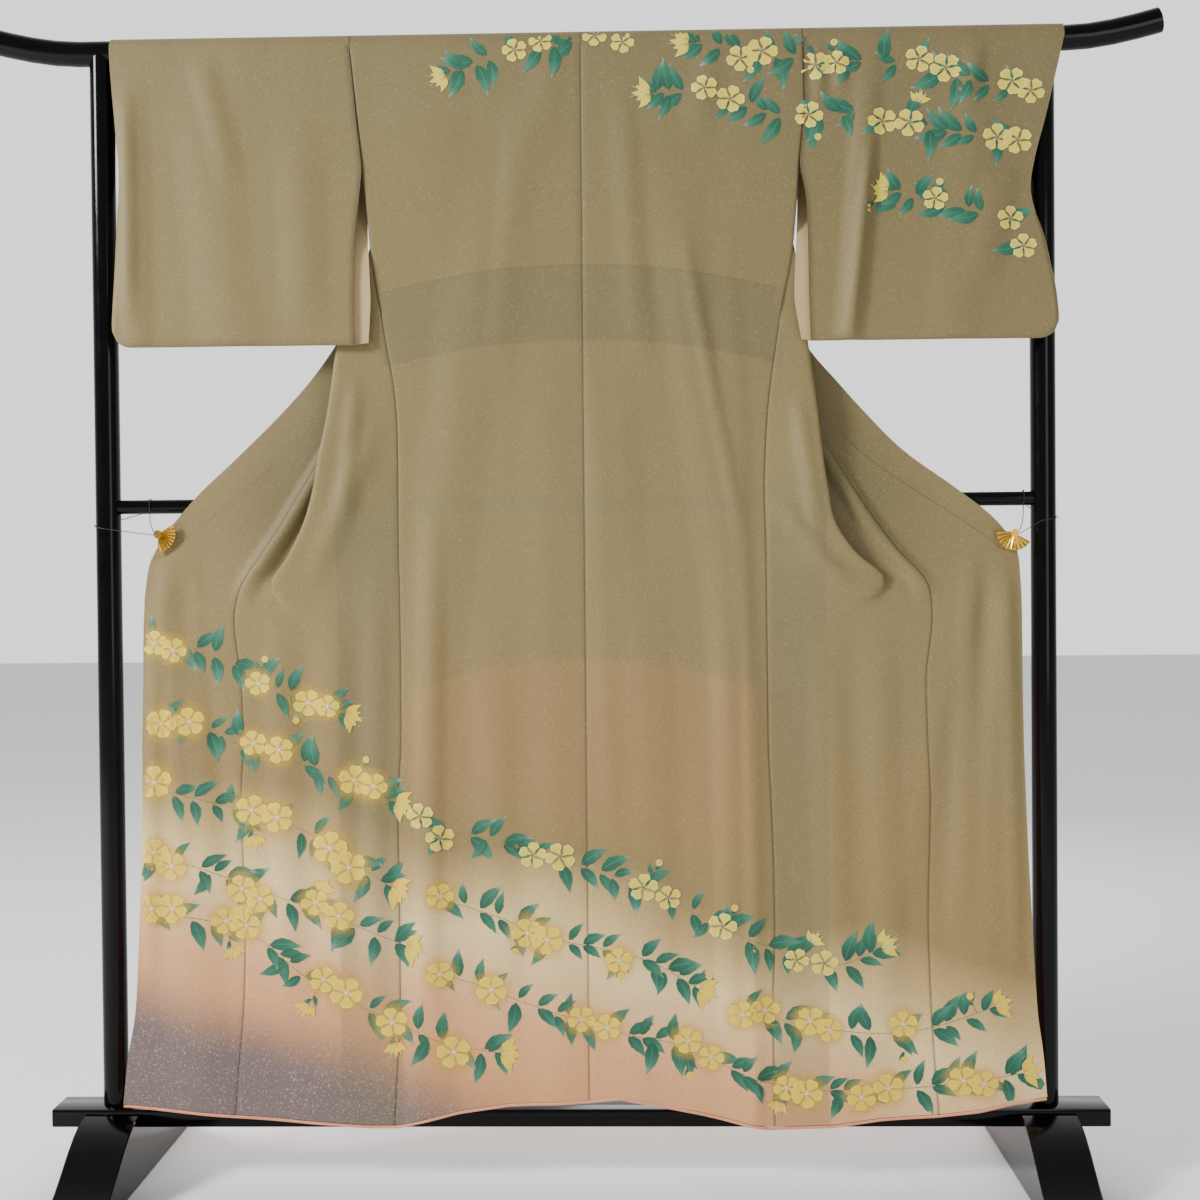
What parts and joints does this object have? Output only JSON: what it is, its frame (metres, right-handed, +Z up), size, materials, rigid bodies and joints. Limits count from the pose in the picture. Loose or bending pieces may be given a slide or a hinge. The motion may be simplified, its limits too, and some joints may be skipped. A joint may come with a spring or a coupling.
{
  "type": "kimono on a stand",
  "caption": "Formal kimono hung by its sleeves over the rail of a round-bar stand, its fronts drawn out to both sides by fan-shaped clips.",
  "frame": {"origin": "on the floor, midway between the feet from side to side and from front to back", "axes": "+X to the right of the picture's viewer, +Y away from that viewer, +Z up; the back of the garment faces -Y"},
  "size_m": [1.759, 0.48, 1.7387],
  "materials": {
    "black lacquer": "gloss",
    "silk crepe": "matte",
    "salmon lining silk": "matte",
    "gold plate": "polished",
    "black cord": "matte"
  },
  "bodies": {
    "root": {"top_rail": "black lacquer", "mid_rail": "black lacquer", "base_board": "black lacquer", "post_left": "black lacquer", "post_right": "black lacquer", "foot_left": "black lacquer", "foot_right": "black lacquer", "back_left": "silk crepe", "shoulder_left": "silk crepe", "front_left": "silk crepe", "back_right": "silk crepe", "shoulder_right": "silk crepe", "front_right": "silk crepe", "overlap_left": "silk crepe", "overlap_right": "silk crepe", "collar": "silk crepe", "sleeve_left": "silk crepe", "sleeve_right": "silk crepe", "hem_roll_left": "salmon lining silk", "hem_roll_right": "salmon lining silk", "fan_clip_left": "gold plate", "fan_clip_right": "gold plate", "clip_cord_left": "black cord", "clip_cord_right": "black cord"}
  },
  "joints": []
}
